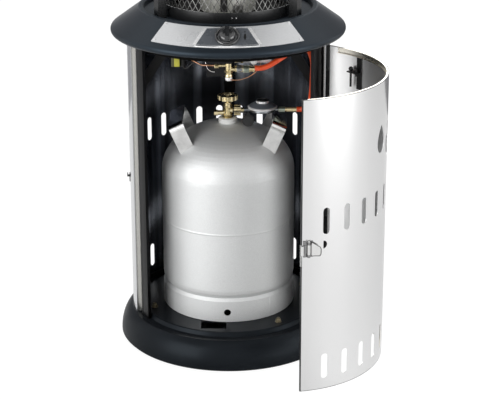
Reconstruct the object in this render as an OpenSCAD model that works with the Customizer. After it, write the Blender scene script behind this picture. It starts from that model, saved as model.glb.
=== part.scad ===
// Gas patio heater: a round sheet steel cabinet on a dished base, its door
// open to the right, with the gas bottle, regulator and hose inside and the
// control ring, burner, mesh emitter and reflector on top.
// The front faces -Y. Angles round the cabinet are counted from the front
// towards +X, and the origin is the centre of the base on the ground.

/* [Base] */
// Reach of the base past the housing, at the ground
base_past = 24; // [20:1:27]
// Bulge of the base above the ground, at its widest
base_bulge = 4; // [3.5:0.5:7]
// Height of the pressed floor that the bottle stands on
floor_z = 74; // [70:1:80]
// Height of the flat land that carries the housing
land_z = 64; // [58:1:67]
// Width of that land inside the housing
land_w = 13; // [11:1:18]
// Sheet thickness of the base
base_t = 2.5; // [1.5:0.5:3.5]
// Distance of the four base bolts from the land
bolt_in = 28; // [22:1:30]
// Width of the vent hole in the base floor
vent_w = 57; // [40:1:70]

/* [Housing] */
// Outer radius of the housing and of the door
house_r = 227; // [222:1:229]
// Thickness of the housing and door sheet
sheet_t = 1; // [0.8:0.1:1.5]
// Height of the housing sheet
house_h = 648; // [620:1:680]
// Half of the angle that the door opening takes
opening_half = 70.4; // [66:0.2:72]
// Width of a vent slot
slot_w = 15; // [10:1:18]
// Height of a vent slot
slot_h = 56; // [40:1:70]
// Angle from one vent slot to the next
slot_pitch = 12.5; // [10:0.5:14]
// Height of the middle of the upper row of slots
slot_top_z = 448; // [400:1:520]
// Height of the middle of the lower row of slots
slot_low_z = 128; // [115:1:160]
// Step of the door stops, inwards from the housing sheet
stop_step = 7.5; // [7:0.5:12]

/* [Door] */
// Angle of the open door, from closed
door_open = 80; // [60:1:95]
// Gap between the door's foot and the base
door_foot_gap = 13; // [8:1:20]
// Gap between the door's top and the top of the housing
door_head_gap = 8; // [7:0.5:14]
// Depth of the trims along the door's top and foot
rim_d = 5; // [4:0.5:6]
// Height of those trims
rim_h = 13; // [8:1:18]
// Angle of the hinge line
hinge_az = 71.1; // [70.9:0.1:72]
// Outer radius of the hinge knuckles
knuckle_r = 4.5; // [4:0.1:5]
// Radius of the hinge pin
pin_r = 2.4; // [2:0.1:2.8]
// Number of knuckles on the long hinge
knuckle_n = 11; // [7:2:15]
// Height of the middle of the latch
latch_z = 392; // [340:1:440]
// Height of the middle flame drop, cut through the door
drop_h = 84; // [60:1:96]
// Width of the middle flame drop
drop_w = 46; // [30:1:50]

/* [Bottle] */
// Outer radius of the gas bottle
bottle_r = 152; // [148:1:154]
// Height of the bottle's straight side above its foot
bottle_side_h = 321; // [300:1:330]
// Rise of the rounded shoulder
shoulder_h = 110; // [90:1:115]
// Wall of the bottle
bottle_t = 4; // [3:0.5:6]
// Height of the foot ring
foot_ring_h = 58; // [45:1:65]
// Height of the weld round the bottle, above its foot
weld_h = 211; // [150:1:260]
// Step of the bottle to the left of the middle
bottle_x = -2; // [-6:1:6]
// Width of the strap handles
strap_w = 34; // [24:1:38]
// Thickness of the strap handles
strap_t = 4; // [3:0.5:5]
// Lean of the strap handles, outwards from upright
strap_lean = 24; // [15:1:30]
// Radius of the bottle valve's handwheel
wheel_r = 23.3; // [20:0.1:25]

/* [Gas line] */
// Radius of the regulator's cover
reg_r = 33.5; // [28:0.5:36]
// Distance of the regulator from the bottle valve
reg_x = 79; // [76:1:84]
// Diameter of the gas hose
hose_d = 12; // [8:0.5:12.5]

/* [Control ring] */
// Reach of the control ring past the housing
ring_past = 35; // [29:1:39]
// Height of that widest line above the housing
ring_rise = 16; // [12:1:22]
// Slope of the ring's conical top
ring_slope = 36; // [32:0.5:40]
// Radius of the ring's rolled outer rim
roll_r = 8.4; // [7:0.1:10]
// Width of that rim, outside the control plate
rim_w = 12; // [10:0.5:16]
// Width of the conical top between its rims
cone_w = 50; // [47:0.5:54]
// Sheet thickness of the control ring
ring_t = 1.5; // [1:0.1:2]
// Half of the angle that the control plate takes
plate_half = 40.5; // [34:0.5:44]
// Radius of the control knob
knob_r = 18; // [15:0.5:19]
// Travel of the control knob when it is pushed
knob_push = 4; // [2:0.5:5]

/* [Burner and emitter] */
// Distance of the mesh emitter from the ring's conical top
mesh_in = 50; // [49:0.5:56]
// Height of the mesh between its two bands
mesh_h = 262; // [200:1:300]
// Height of the lower band
band_h = 25; // [18:1:32]
// Radius of the burner head
burner_r = 62; // [50:1:80]
// Number of posts
post_n = 3; // [3:1:3]
// Distance of the posts from the mesh emitter
post_out = 19; // [16:0.5:20]
// Width of a post
post_w = 20; // [14:1:26]
// Reach of the reflector past the control ring
hood_past = 8; // [0:1:20]
// Rise of the domed reflector
hood_rise = 50; // [30:1:70]
// Gap from the top band of the emitter to the reflector's rim
hood_gap = 29; // [10:1:40]

/* [Hidden] */
$fn = 96;
fine = 180;
small = 32;
eps = 0.01;
// Gap that is left between a seated piece and its curved seat
seat = 0.2;
// Radial running gap of a pin in its bore
run = 0.05;

house_top = land_z + house_h;
house_in = house_r - sheet_t;
base_r = house_r + base_past;
base_wide_r = base_r + base_bulge;
land_r = house_in - land_w;
bolt_r = land_r - bolt_in;
stop_r = house_in - stop_step;
door_z0 = land_z + door_foot_gap;
door_z1 = house_top - door_head_gap;
door_half = opening_half - 0.6;
hinge_pr = house_r + knuckle_r;
leaf_t = 1.5;
// Angle, seen from the middle, that one millimetre of arc takes at the sheet
deg_mm = 360 / (2 * PI * house_r);

ring_r = house_r + ring_past;
ring_wide_z = house_top + ring_rise;
cone_drop = tan(ring_slope);
cone_out_r = ring_r - rim_w;
cone_in_r = cone_out_r - cone_w;
// The cone runs tangent into the rolled rim
roll_top = 90 - ring_slope;
function cone_z(r) = ring_wide_z + roll_r * sin(roll_top)
    + (ring_r - roll_r + roll_r * cos(roll_top) - r) * cone_drop;
cone_in_z = cone_z(cone_in_r);
ring_floor_z = cone_in_z - 11;
rim_top_z = cone_in_z + 1.5;
rim_in_r = cone_in_r - 12;
carrier_t = 1.5;
mesh_r = cone_in_r - mesh_in;
post_r = mesh_r + post_out;
hood_r = ring_r + hood_past;

band_z = ring_floor_z + ring_t;
mesh_z = band_z + band_h;
mesh_top = mesh_z + mesh_h;
cap_h = 16;
hood_rim_z = mesh_top + cap_h + hood_gap;
hood_t = 1.2;
hood_R = (hood_r * hood_r + hood_rise * hood_rise) / (2 * hood_rise);

bottle_top = floor_z + bottle_side_h + shoulder_h;
shoulder_z = floor_z + bottle_side_h;
valve_z = bottle_top + 27;
wheel_z = bottle_top + 53;

function polar_xy(a, r) = [r * sin(a), -r * cos(a)];
function hood_z(r) = hood_rim_z + hood_rise - hood_R + sqrt(hood_R * hood_R - r * r);
function shoulder_at(r) = shoulder_z + shoulder_h * sqrt(1 - pow(r / bottle_r, 2));

// Points along an arc of radius r, from angle a0 to a1
function arc_pts(r, a0, a1) = [for (i = [0:9]) polar_xy(a0 + (a1 - a0) * i / 9, r)];

// Turns its children so that their front lies at angle a
module at_az(a) {
    rotate([0, 0, a]) children();
}

// A curved wall of radius r, from angle a0 to a1
module arc_wall(r, t, z, h, a0, a1) {
    rotate([0, 0, a0 - 90]) rotate_extrude(angle = a1 - a0, $fn = fine)
        translate([r - t, z]) square([t, h]);
}

// A flat-ended ring
module ring(r_out, r_in, z, h, f = fine) {
    translate([0, 0, z]) difference() {
        cylinder(r = r_out, h = h, $fn = f);
        translate([0, 0, -1]) cylinder(r = r_in, h = h + 2, $fn = f);
    }
}

// A round bar from point a to point b
module bar(a, b, r, f = small) {
    d = b - a;
    len = norm(d);
    translate(a) rotate([0, acos(d[2] / len), atan2(d[1], d[0])]) cylinder(r = r, h = len, $fn = f);
}

// Straight round bars along a list of points, with a ball at each bend
module bent_bar(pts, r, f = small) {
    for (i = [0:len(pts) - 2])
        bar(pts[i], pts[i + 1], r, f);
    for (i = [1:len(pts) - 2])
        translate(pts[i]) sphere(r = r, $fn = f);
}

// A radial cutter with round ends, as tall as h and as wide as w
module slot_cutter(w, h) {
    for (s = [-1, 1])
        translate([0, -house_r - 10, s * (h - w) / 2]) rotate([-90, 0, 0])
            cylinder(d = w, h = 30, $fn = small);
    translate([-w / 2, -house_r - 10, -(h - w) / 2]) cube([w, 30, h - w]);
}

// Both rows of slots on the housing or the door, centred on angle mid
module slot_rows(mid, n) {
    for (i = [0:n - 1], z = [slot_top_z, slot_low_z])
        at_az(mid + (i - (n - 1) / 2) * slot_pitch) translate([0, 0, z]) slot_cutter(slot_w, slot_h);
}

// Outline of a flame drop: a round foot drawn up to a point
function drop_pts(w, h) = [for (i = [0:35]) let (a = i * 10, c = cos(a))
    [w / 2 * sin(a) * pow((1 - c) / 2, 0.35) * 1.12, h / 2 * (c > 0.999 ? 1 : c)]];

module drop_cutter(w, h) {
    translate([0, -house_r + 15, 0]) rotate([90, 0, 0]) linear_extrude(30) polygon(drop_pts(w, h));
}

// Puts the door's pieces, drawn closed, at the open angle
module on_door() {
    p = polar_xy(hinge_az, hinge_pr);
    translate([p[0], p[1], 0]) rotate([0, 0, door_open]) translate([-p[0], -p[1], 0]) children();
}

module base_dish() {
    // Semi-axes of the rounded outer slope, which ends under the land
    slope_a = 38;
    slope_mid = base_wide_r - slope_a;
    slope_z = 4;
    land_out = house_r + 2;
    slope_b = (land_z - slope_z) / sqrt(1 - pow((land_out - slope_mid) / slope_a, 2));
    slope_start = acos((land_out - slope_mid) / slope_a);
    function slope(a, in) = [slope_mid + (slope_a - in) * cos(a), slope_z + (slope_b - in) * sin(a)];
    outer = [[0, floor_z], [land_r - 10, floor_z], [land_r - 7, floor_z - 1], [land_r - 3, land_z + 1],
        [land_r, land_z], for (i = [0:14]) slope(slope_start * (1 - i / 14), 0), [base_r, 0]];
    inner = [[base_r - base_t, 0], for (i = [0:14]) slope(slope_start * i / 14, base_t),
        [land_r - 1, land_z - base_t], [land_r - 5, land_z - base_t + 1],
        [land_r - 9, floor_z - base_t - 1],
        [land_r - 11, floor_z - base_t], [0, floor_z - base_t]];
    color("dimgray") difference() {
        rotate_extrude($fn = fine) polygon(concat(outer, inner));
        translate([-35 - vent_w / 2, -bolt_r, floor_z - 20]) cube([vent_w, 40, 40]);
        for (a = [-70, 37, 110, 217])
            at_az(a) translate([0, -bolt_r, floor_z - 20]) cylinder(r = 4.1, h = 40, $fn = small);
    }
}

module base_bolts() {
    color("goldenrod") for (a = [-70, 37, 110, 217])
        at_az(a) translate([0, -bolt_r, 0]) {
            translate([0, 0, floor_z]) cylinder(r = 7.5, h = 1.5, $fn = small);
            translate([0, 0, floor_z + 1.5 - eps]) cylinder(r = 6.5, h = 5, $fn = 6);
            translate([0, 0, floor_z - 14]) cylinder(r = 4, h = 24, $fn = small);
            translate([0, 0, floor_z - base_t - 5]) cylinder(r = 6.5, h = 5, $fn = 6);
        }
}

module housing_shell() {
    color("silver") difference() {
        arc_wall(house_r, sheet_t, land_z, house_h, opening_half + 0.8, 360 - opening_half);
        slot_rows(180, 14);
    }
}

// Hook on the outside of the housing, on the left
module side_hook() {
    r = house_r + seat;
    color("dimgray") at_az(-88) translate([0, -r, latch_z - 17]) {
        translate([-6, -1.5, -9.5]) cube([12, 1.5, 19]);
        translate([-4, -5, 2]) cube([8, 3.6, 3]);
        translate([-4, -6.5, 2]) cube([8, 2, 7.5]);
    }
}

module foot_angle() {
    a0 = opening_half + 7;
    color("dimgray") {
        arc_wall(house_in - seat, 1.5, land_z, 16, a0, 360 - a0);
        arc_wall(house_in - seat, house_in - seat - land_r - 1, land_z, 1.5, a0, 360 - a0);
    }
}

// A stepped door stop, folded from one sheet and drawn for the left side
module jamb() {
    a = -opening_half;
    wall_r = house_in - seat;
    t = 1.2;
    web = a - 1.2;
    web_in = web - 0.3;
    lip = a + 12;
    lip_in = lip - 0.3;
    color("silver") translate([0, 0, land_z + 2]) linear_extrude(house_h - 10) polygon(concat(
        arc_pts(wall_r, a - 6, web), arc_pts(stop_r, web, lip), arc_pts(stop_r - 7, lip, lip_in),
        arc_pts(stop_r - t, lip_in, web_in), arc_pts(wall_r - t, web_in, a - 6)));
}

module jamb_left() {
    jamb();
}

module jamb_right() {
    mirror([1, 0, 0]) jamb();
}

knuckle_h = (door_z1 - door_z0) / knuckle_n;

// A hinge leaf, drawn to the right of the hinge line, with every other knuckle
module hinge_leaf(first) {
    difference() {
        union() {
            arc_wall(house_r + leaf_t + seat, leaf_t, door_z0, knuckle_h * knuckle_n,
                hinge_az + 5.6 * deg_mm, hinge_az + 22 * deg_mm);
            for (i = [first:2:knuckle_n - 1]) {
                z = door_z0 + i * knuckle_h + 0.25;
                at_az(hinge_az) translate([0, -hinge_pr, z])
                    cylinder(r = knuckle_r - seat, h = knuckle_h - 0.5,
                    $fn = small);
                arc_wall(house_r + leaf_t + seat, leaf_t, z, knuckle_h - 0.5, hinge_az,
                    hinge_az + 6 * deg_mm);
            }
        }
        at_az(hinge_az) translate([0, -hinge_pr, door_z0 - 1])
            cylinder(r = pin_r + run, h = knuckle_h * knuckle_n + 2, $fn = small);
    }
}

module hinge_fixed_leaf() {
    color("black") hinge_leaf(0);
}

module hinge_pin() {
    color("black") at_az(hinge_az) translate([0, -hinge_pr, door_z0 - 2]) {
        cylinder(r = pin_r, h = knuckle_h * knuckle_n + 4, $fn = small);
        translate([0, 0, -1]) cylinder(r = knuckle_r - seat, h = 2, $fn = small);
        translate([0, 0, knuckle_h * knuckle_n + 3]) cylinder(r = knuckle_r - seat, h = 2, $fn = small);
    }
}

// Sheet ring under the control ring, which ties it to the housing
module ring_carrier() {
    t = carrier_t;
    r1 = house_in - seat;
    neck_r = rim_in_r - 3;
    prof = [[r1, door_z1 + 2], [r1, house_top], [r1 - 20, house_top],
        [neck_r, ring_floor_z], [mesh_r - 2, ring_floor_z],
        [mesh_r - 2, ring_floor_z - t], [neck_r - t, ring_floor_z - t], [r1 - 20 - t, house_top - t],
        [r1 - t, house_top - t], [r1 - t, door_z1 + 2]];
    // The front window clears the valve and the hose
    color("dimgray") difference() {
        rotate_extrude($fn = fine) polygon(prof);
        arc_wall(house_in - 4, house_in - 4 - mesh_r, house_top - t - 1, ring_floor_z - house_top - 3,
            -17, 60);
    }
}

// A flat brace on side s: a bent strip that stands across the cabinet, from
// under the control ring's floor down to a foot on the housing wall
module side_brace(s) {
    w = 22;
    t = 3;
    top_x = mesh_r - 18;
    top_z = ring_floor_z - 0.1;
    wall_x = house_in - seat;
    foot_z = house_top - 212;
    strip = [[top_x - 14, top_z], [top_x - 14, top_z - 40], [top_x - 8, house_top - 30],
        [wall_x - w, foot_z + 60], [wall_x - w, foot_z], [wall_x, foot_z], [wall_x, foot_z + 66],
        [top_x + w, house_top - 38], [top_x + w - 8, top_z - 40], [top_x + w - 8, top_z]];
    color("black") mirror([s < 0 ? 1 : 0, 0, 0]) intersection() {
        translate([0, t / 2, 0]) rotate([90, 0, 0]) linear_extrude(t) polygon(strip);
        translate([0, 0, foot_z - 5]) cylinder(r = wall_x, h = ring_floor_z - foot_z, $fn = fine);
    }
}

// The rear brace: a shelf under the carrier, a drop and a strut to the wall
module brace_rear() {
    w = 24;
    t = 2.5;
    drop_r = mesh_r - 50;
    shelf_r = mesh_r + 22;
    shelf_z = ring_floor_z - carrier_t;
    wall_r = house_in - seat;
    foot_z = house_top - 212;
    foot_h = 32;
    prof = [[shelf_r, shelf_z], [drop_r, shelf_z], [drop_r, house_top - 10], [wall_r - t, foot_z],
        [wall_r - t, foot_z - foot_h], [wall_r, foot_z - foot_h], [wall_r, foot_z + 3],
        [drop_r + t, house_top - 8], [drop_r + t, shelf_z - t], [shelf_r, shelf_z - t]];
    color("black") at_az(180) intersection() {
        rotate([90, 0, -90]) translate([0, 0, -w / 2]) linear_extrude(w) polygon(prof);
        translate([0, 0, foot_z - foot_h - 5])
            cylinder(r = wall_r, h = ring_floor_z - foot_z + foot_h, $fn = fine);
    }
}

module brace_left() {
    side_brace(-1);
}

module brace_right() {
    side_brace(1);
}

module control_ring() {
    // Rolled outer rim, from the cone's foot round to the lip below
    lip = -58;
    function roll(i, in) = let (a = roll_top + (lip - roll_top) * i / 12)
        [ring_r - roll_r + (roll_r - in) * cos(a), ring_wide_z + (roll_r - in) * sin(a)];
    floor_in = mesh_r - 34;
    outer = [[floor_in, ring_floor_z + ring_t], [rim_in_r - 2, ring_floor_z + ring_t],
        [rim_in_r, rim_top_z - 2],
        [rim_in_r + 3, rim_top_z], [cone_in_r - 3, rim_top_z], [cone_in_r, cone_in_z],
        for (i = [0:12]) roll(i, 0)];
    inner = [for (i = [12:-1:0]) roll(i, ring_t), [cone_in_r - 1, cone_in_z - ring_t],
        [cone_in_r - 4, rim_top_z - ring_t], [rim_in_r + 3.6, rim_top_z - ring_t],
        [rim_in_r + ring_t, rim_top_z - 3], [rim_in_r + ring_t - 2, ring_floor_z],
        [floor_in, ring_floor_z]];
    color("darkslategray") difference() {
        rotate_extrude($fn = fine) polygon(concat(outer, inner));
        on_cone(panel_r, 0) translate([0, 0, -20]) cylinder(r = spindle_hole_r, h = 40, $fn = small);
        at_rivets() translate([0, 0, -10]) cylinder(r = rivet_r + run, h = 20, $fn = small);
    }
}

panel_r = (cone_in_r + cone_out_r) / 2;
spindle_hole_r = 9;
spindle_r = 4;

// Puts its children on the cone at radius r and angle a, their +Z square to it
module on_cone(r, a) {
    at_az(a) translate([0, -r, cone_z(r)]) rotate([ring_slope, 0, 0]) children();
}

// A sheet that lies on the cone, from height lift to lift + t above it
module cone_patch(r_in, r_out, lift, t, half) {
    dx = sin(ring_slope);
    dz = cos(ring_slope);
    function off(r, h) = [r + h * dx, cone_z(r) + h * dz];
    rotate([0, 0, -half - 90]) rotate_extrude(angle = 2 * half, $fn = fine)
        polygon([off(r_in, lift), off(r_out, lift), off(r_out, lift + t), off(r_in, lift + t)]);
}

plate_in_r = cone_in_r + 3;
plate_out_r = cone_out_r - 1;
plate_t = 1;

module control_plate() {
    color("gainsboro") difference() {
        cone_patch(plate_in_r, plate_out_r, seat, plate_t, plate_half);
        on_cone(panel_r, 0) translate([0, 0, -10]) cylinder(r = spindle_hole_r, h = 40, $fn = small);
        at_rivets() translate([0, 0, -10]) cylinder(r = rivet_r + run, h = 20, $fn = small);
    }
}

inset_in_half = 43;
inset_out_half = 70;
inset_t = 2;

module control_inset() {
    y0 = -(plate_out_r - 3 - panel_r) / cos(ring_slope);
    y1 = (panel_r - plate_in_r - 3) / cos(ring_slope);
    lift = seat + plate_t + seat;
    color("black") difference() {
        intersection() {
            cone_patch(plate_in_r + 2, plate_out_r - 2, lift, inset_t, plate_half);
            on_cone(panel_r, 0) translate([0, 0, -30]) linear_extrude(60)
                polygon([[-inset_out_half, y0], [inset_out_half, y0],
                    [inset_in_half, y1], [-inset_in_half, y1]]);
        }
        on_cone(panel_r, 0) translate([0, 0, -10]) cylinder(r = bezel_r - 3, h = 40, $fn = small);
    }
}

rivet_r = 1.2;

// Puts its children at the control plate's four corners
module at_rivets() {
    for (s = [-1, 1], r = [plate_in_r + 4, plate_out_r - 4])
        on_cone(r, s * (plate_half - 1.6)) children();
}

module plate_rivets() {
    color("silver") at_rivets() translate([0, 0, seat + plate_t + run]) {
        cylinder(r = 2.5, h = 1.2, $fn = small);
        translate([0, 0, -4]) cylinder(r = rivet_r, h = 4 + eps, $fn = small);
    }
}

bezel_r = 26.5;
// Height of the bezel's foot above the cone, clear of the curved plate
bezel_lift = 1.9;

module knob_bezel() {
    color("black") on_cone(panel_r, 0) translate([0, 0, bezel_lift]) rotate_extrude($fn = fine)
        polygon([[bezel_r - 6, 0], [bezel_r - 3.4, 0], [bezel_r - 3.4, 1.7], [bezel_r - 0.6, 1.7],
            [bezel_r, 2.4], [bezel_r - 0.6, 4.6], [bezel_r - 2.5, 6], [bezel_r - 5, 5], [bezel_r - 6, 3]]);
}

knob_gap = 6;

module valve_spindle() {
    color("goldenrod") on_cone(panel_r, 0) difference() {
        translate([0, 0, -34]) cylinder(r = spindle_r, h = 44, $fn = small);
        translate([spindle_r - 1.2, -10, 0]) cube([10, 20, 20]);
    }
}

module control_knob() {
    z0 = knob_gap;
    color("black") on_cone(panel_r, 0) difference() {
        union() {
            translate([0, 0, z0]) rotate_extrude($fn = fine) polygon([[0, 0], [knob_r, 0], [knob_r, 2],
                [knob_r - 1.5, 6], [knob_r - 3.5, 8], [knob_r - 8, 10], [0, 11.5]]);
            intersection() {
                translate([-4.5, -knob_r, z0 + 3]) cube([9, 2 * knob_r, 13]);
                translate([0, 0, z0]) cylinder(r1 = knob_r, r2 = knob_r - 4, h = 15, $fn = small);
            }
        }
        difference() {
            translate([0, 0, z0 - 1]) cylinder(r = spindle_r + run, h = 10, $fn = small);
            translate([spindle_r - 1.1, -10, z0 - 2]) cube([10, 20, 12]);
        }
    }
}

pilot_az = 14;
pilot_p = polar_xy(pilot_az, burner_r + 30);
// Underside of the valve block and middle of its outlet, inlet and front face
block_z = ring_wide_z - 38;
outlet_p = [2, 53 - panel_r, ring_wide_z - 52];
block_y0 = 43 - panel_r;
block_y1 = 91 - panel_r;
// Thickness of the ring's sheet, square to the cone
cone_wall = (ring_t + cone_drop) * cos(ring_slope);
pipe_z = ring_wide_z - 22;

// The valve under the control ring, hung from the cone by its neck
module gas_valve() {
    color("black") difference() {
        union() {
            on_cone(panel_r, 0) {
                translate([0, 0, -32]) cylinder(r = 11, h = 32 - cone_wall - 0.5, $fn = small);
                translate([-20, -16, -56]) cube([40, 34, 26]);
            }
            translate([-45, block_y0, block_z]) cube([55, block_y1 - block_y0, 40]);
            translate([-45, block_y1 - 29, block_z - 33]) cube([40, 29, 34]);
        }
        on_cone(panel_r, 0) translate([0, 0, -36]) cylinder(r = spindle_r + run, h = 50, $fn = small);
    }
}

// Step up to the pilot's branch, its reach to the left and its nut
branch_z = 8;
branch_x = -24;
nut_l = 7;

module valve_outlet() {
    color("goldenrod") translate(outlet_p) {
        translate([0, 0, -14]) cylinder(r = 6.8, h = block_z - outlet_p[2] + 14, $fn = small);
        translate([0, 0, -15]) sphere(r = 8, $fn = small);
        translate([0, 0, -8]) cylinder(r = 9, h = 5, $fn = 6);
        rotate([0, 90, 0]) cylinder(r = 5, h = 14, $fn = small);
        translate([0, 0, branch_z]) rotate([0, -90, 0]) cylinder(r = 3.4, h = -branch_x, $fn = small);
        translate([branch_x + eps, 0, branch_z]) rotate([0, -90, 0])
            cylinder(r = 5.5, h = nut_l, $fn = 6);
    }
}

hose_end = [58, outlet_p[1], ring_wide_z - 50];

module inlet_fitting() {
    x0 = outlet_p[0] + 14 + seat;
    color("goldenrod") translate([0, outlet_p[1], outlet_p[2]]) rotate([0, 90, 0]) {
        translate([0, 0, x0]) cylinder(r = 7, h = 9, $fn = 6);
        translate([0, 0, x0 + 9 - eps]) cylinder(r = 4, h = 4, $fn = small);
        translate([0, 0, x0 + 12]) cylinder(r = 7.5, h = 13, $fn = 6);
        translate([0, 0, x0 + 25 - eps]) cylinder(r = 5.8, h = hose_end[0] - x0 - 25 - seat, $fn = small);
    }
}

module burner_pipe() {
    color("silver") {
        translate([0, block_y1, pipe_z]) rotate([-90, 0, 0]) cylinder(r = 4, h = -block_y1, $fn = small);
        translate([0, 0, pipe_z - 12]) cylinder(r = 15, h = 22, $fn = small);
        translate([0, 0, pipe_z + 10 - eps]) cylinder(r = 11, h = band_z - pipe_z - 10, $fn = small);
    }
}

module pilot_pipe() {
    x0 = outlet_p[0] + branch_x - nut_l - seat;
    y = outlet_p[1];
    z = outlet_p[2] + branch_z;
    color("chocolate") bent_bar([[x0, y, z], [x0 - 26, y, z + 1], [x0 - 48, y + 2, z + 12],
        [x0 - 56, y + 30, z + 30], [-40, y + 68, z + 46], [pilot_p[0], pilot_p[1], z + 62],
        [pilot_p[0], pilot_p[1], band_z]],
        1.8, 16);
}

module igniter_box() {
    p = [-113, outlet_p[1] + 42, ring_wide_z - 57];
    color("black") translate(p) {
        translate([-9, -8, 0]) cube([18, 20, 30]);
        translate([0, 2, 29]) cylinder(r = 4, h = ring_floor_z - carrier_t - p[2] - 29, $fn = small);
        translate([-6, -8.8, 3]) cube([12, 0.8 + eps, 24]);
    }
}

module burner_pan() {
    color("silver") {
        ring(mesh_r - 24, 10.9, band_z + seat, 1.5);
        ring(mesh_r - 24, mesh_r - 26, band_z + seat, 8);
    }
}

module burner_head() {
    z = band_z + seat + 1.5;
    color("silver") {
        difference() {
            ring(burner_r, burner_r - 2, z, 96);
            for (a = [-8, 112, 232])
                at_az(a) translate([-8, -burner_r - 5, z + 4]) cube([16, 12, 100]);
        }
        ring(burner_r - 2.5, burner_r - 4.5, z, 90);
        translate([0, 0, z]) cylinder(r = burner_r - 1, h = 1.2, $fn = fine);
        translate([0, 0, z]) cylinder(r = 30, h = 40, $fn = fine);
        translate([0, 0, z + 88]) cylinder(r = burner_r - 4, h = 2, $fn = fine);
    }
}

module emitter_band() {
    color("black") {
        ring(mesh_r, mesh_r - 1.5, band_z + seat, band_h);
        ring(mesh_r - 1, mesh_r - 9, band_z + seat, 1.5);
    }
}

// Diamonds of the mesh, round the emitter and up it, and its plain edges
mesh_cols = 28;
mesh_rows = 9;
mesh_edge = 2.5;
strand_w = 2;

// Stretched mesh, bent round along the upright lines of its diamonds
module emitter_mesh() {
    row_h = (mesh_h - 2 * mesh_edge) / mesh_rows;
    half_w = PI * mesh_r / mesh_cols - strand_w * 0.58;
    half_h = row_h - strand_w;
    z0 = mesh_z + mesh_edge;
    sides = 2 * mesh_cols;
    function wall(r) = [for (k = [0:sides - 1]) polar_xy(k * 360 / sides, r)];
    color("gray") difference() {
        translate([0, 0, mesh_z + 2 * seat]) linear_extrude(mesh_h - 2 * seat) difference() {
            polygon(wall(mesh_r - 0.3));
            polygon(wall(mesh_r - 1.8));
        }
        for (i = [0:mesh_rows], k = [0:mesh_cols - 1])
            at_az((k + (i % 2) / 2) * 360 / mesh_cols) translate([0, 6 - mesh_r, z0 + i * row_h])
                rotate([90, 0, 0]) linear_extrude(12)
                    polygon([[-half_w, 0], if (i > 0) [0, -half_h], [half_w, 0],
                        if (i < mesh_rows) [0, half_h]]);
    }
}

module emitter_cap() {
    color("black") {
        ring(mesh_r, mesh_r - 1.5, mesh_top + seat, cap_h);
        translate([0, 0, mesh_top + seat + cap_h - 1.5]) cylinder(r = mesh_r - 1, h = 1.5, $fn = fine);
    }
}

module pilot_burner() {
    color("silver") translate([pilot_p[0], pilot_p[1], band_z + seat + 1.5]) rotate([0, 0, pilot_az]) {
        translate([-12, -1, 0]) cube([24, 2, 26]);
        translate([-12, -10, 0]) cube([24, 11, 1.5]);
        translate([-5, -4.5, 0]) cylinder(r = 4, h = 30, $fn = small);
        translate([5, -4.5, 0]) cylinder(r = 2, h = 38, $fn = small);
    }
}

// An upright channel from the control ring to the reflector, open inwards
module post(a) {
    d = 20;
    t = 2;
    z0 = band_z + seat;
    r_out = post_r + d / 2;
    color("black") at_az(a) difference() {
        union() {
            translate([-post_w / 2, -r_out, z0]) cube([post_w, d, hood_rim_z + hood_rise - z0]);
            translate([-post_w / 2, -r_out, z0]) cube([post_w, d, 3]);
        }
        translate([-post_w / 2 + t, -r_out + t, z0 + 3])
            cube([post_w - 2 * t, d, hood_rim_z + hood_rise - z0]);
        translate([0, 0, hood_rim_z + hood_rise - hood_R]) difference() {
            translate([0, 0, hood_R]) cube([2000, 2000, 600], center = true);
            sphere(r = hood_R - hood_t - seat, $fn = fine);
        }
    }
}

module post_left() {
    post(-60);
}

module post_right() {
    post(60);
}

module post_rear() {
    post(180);
}

// Half section of a domed sheet, worked out along the arc of its sphere
module reflector() {
    n = 24;
    half = asin(hood_r / hood_R);
    zc = hood_rim_z + hood_rise - hood_R;
    function dome(R, i) = [R * sin(half * i / n), zc + R * cos(half * i / n)];
    color("silver") difference() {
        rotate_extrude($fn = fine) polygon(concat([for (i = [0:n]) dome(hood_R, i)],
            [[hood_r + 0.2, hood_rim_z - 9], [hood_r - hood_t, hood_rim_z - 9]],
            [for (i = [n:-1:0]) dome(hood_R - hood_t, i)]));
        for (a = [-60, 60, 180])
            at_az(a) translate([0, -post_r, hood_rim_z]) cylinder(r = 3.4, h = 100, $fn = small);
    }
}

// Studs that stand on a cross plate in each post, with an acorn nut and a
// washer square to the dome
module reflector_nuts() {
    z = hood_z(post_r);
    bar_w = post_w / 2 - 2 - seat;
    color("silver") for (a = [-60, 60, 180])
        at_az(a) translate([0, -post_r, z]) {
            translate([0, 0, -30]) cylinder(r = 3, h = 33, $fn = small);
            translate([-bar_w, -8, -32]) cube([2 * bar_w, 16, 3]);
            rotate([asin(post_r / hood_R), 0, 0]) translate([0, 0, 0.1]) {
                cylinder(r = 8, h = 1.2, $fn = small);
                cylinder(r = 6.4, h = 6, $fn = 6);
                translate([0, 0, 6]) sphere(r = 5, $fn = small);
            }
        }
}

module at_bottle() {
    translate([bottle_x, 0, 0]) children();
}

// Solid shape of the bottle, grown by g
module bottle_form(g) {
    n = 18;
    r = bottle_r + g;
    h = shoulder_h + g;
    foot_turn = 30;
    zf = floor_z + foot_ring_h - 14;
    rotate_extrude($fn = fine) polygon(concat([[0, zf - g]], [[r - 60, zf - g]],
        [for (i = [0:6]) let (a = i * 15)
            [r - foot_turn + foot_turn * sin(a), zf - g + foot_turn - foot_turn * cos(a)]],
        [for (i = [0:n]) [r * cos(i * 90 / n), shoulder_z + h * sin(i * 90 / n)]]));
}

module bottle_body() {
    color("lightgray") at_bottle() difference() {
        union() {
            bottle_form(0);
            translate([0, 0, floor_z + weld_h]) rotate_extrude($fn = fine)
                polygon([[bottle_r - 2, -3], [bottle_r, -3], [bottle_r + 0.9, 0], [bottle_r, 3],
                    [bottle_r - 2, 3]]);
        }
        bottle_form(-bottle_t);
        translate([0, 0, bottle_top - 30]) cylinder(r = 13, h = 60, $fn = small);
    }
}

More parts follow.
